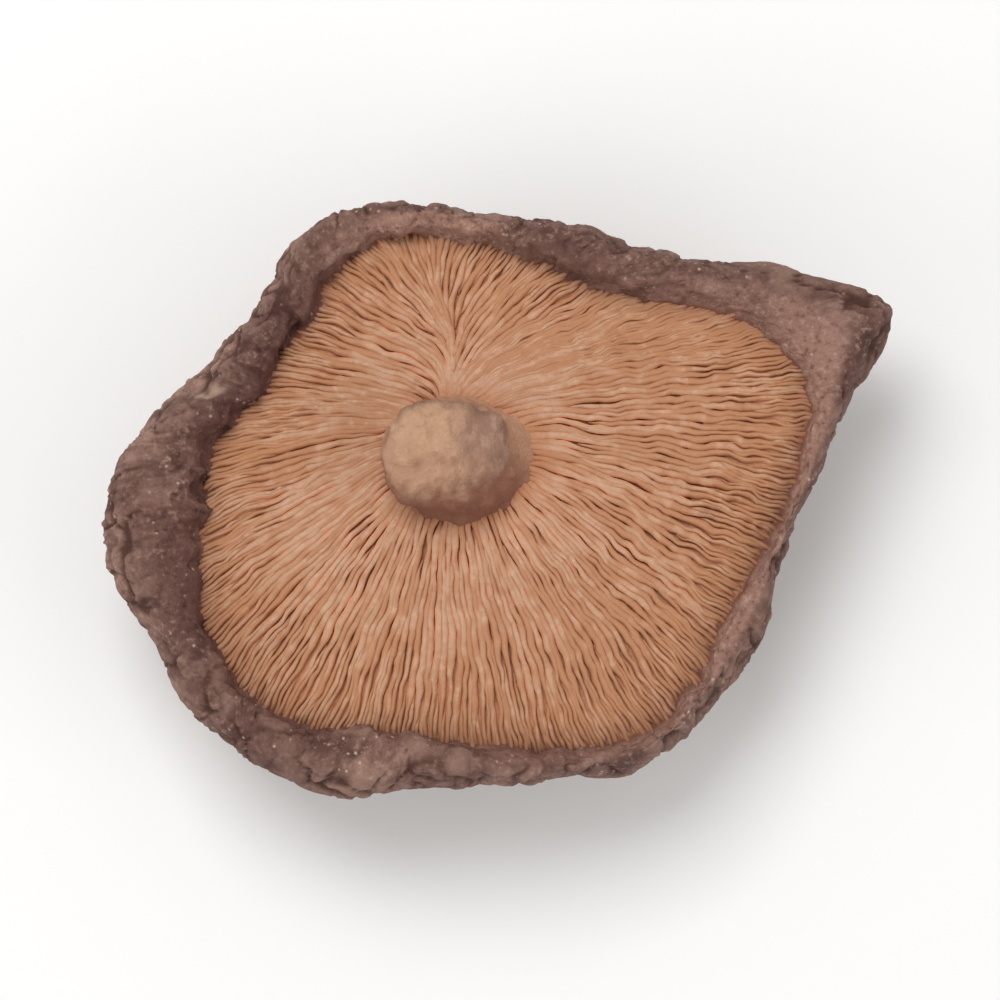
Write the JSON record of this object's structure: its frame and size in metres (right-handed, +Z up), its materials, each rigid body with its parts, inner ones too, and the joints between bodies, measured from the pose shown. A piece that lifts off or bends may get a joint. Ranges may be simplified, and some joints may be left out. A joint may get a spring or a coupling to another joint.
{
  "type": "dried shiitake mushroom",
  "caption": "Dried shiitake mushroom: bowl-shaped cap with a rolled, wrinkled margin, gills facing up and a short cut stem, lying on its crown.",
  "frame": {"origin": "on the surface that the mushroom lies on, under the middle of its outline", "axes": "+Z up, out of the gills; +X along the longest side; +Y across it"},
  "size_m": [0.0586, 0.0442, 0.02],
  "materials": {
    "mushroom": null
  },
  "bodies": {
    "root": {"mushroom": "mushroom"}
  },
  "joints": []
}
